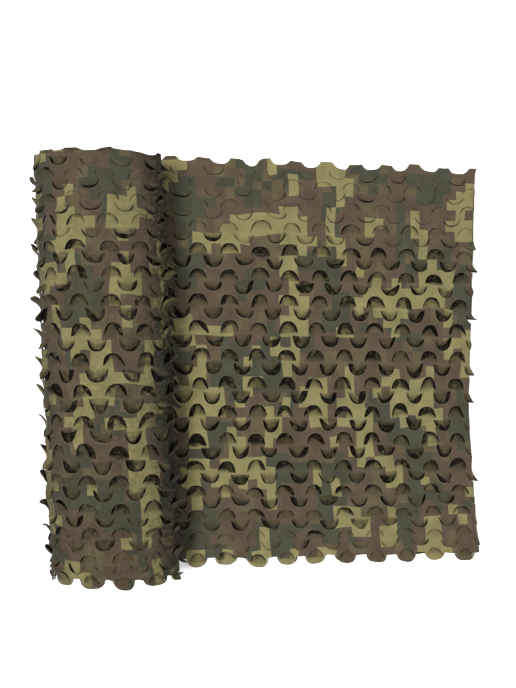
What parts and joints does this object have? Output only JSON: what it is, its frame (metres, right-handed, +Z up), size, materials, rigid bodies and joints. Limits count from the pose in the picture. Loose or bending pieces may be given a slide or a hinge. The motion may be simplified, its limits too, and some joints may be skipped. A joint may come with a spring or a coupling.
{
  "type": "camouflage net",
  "caption": "Leaf-cut camouflage net, rolled up, with a loose end folded double and laid flat beside the roll.",
  "frame": {"origin": "on the roll's flat spot, level with the floor", "axes": "+Z up from the floor, +Y along the roll towards the net's tabbed edge, +X from the roll to the folded end"},
  "size_m": [1.6318, 1.5507, 0.3423],
  "materials": {
    "camouflage_cloth": "matte woven polyester, printed in khaki, brown and grey green blocks"
  },
  "bodies": {
    "root": {"net_roll": "camouflage_cloth", "net_loose_end": "camouflage_cloth"}
  },
  "joints": []
}
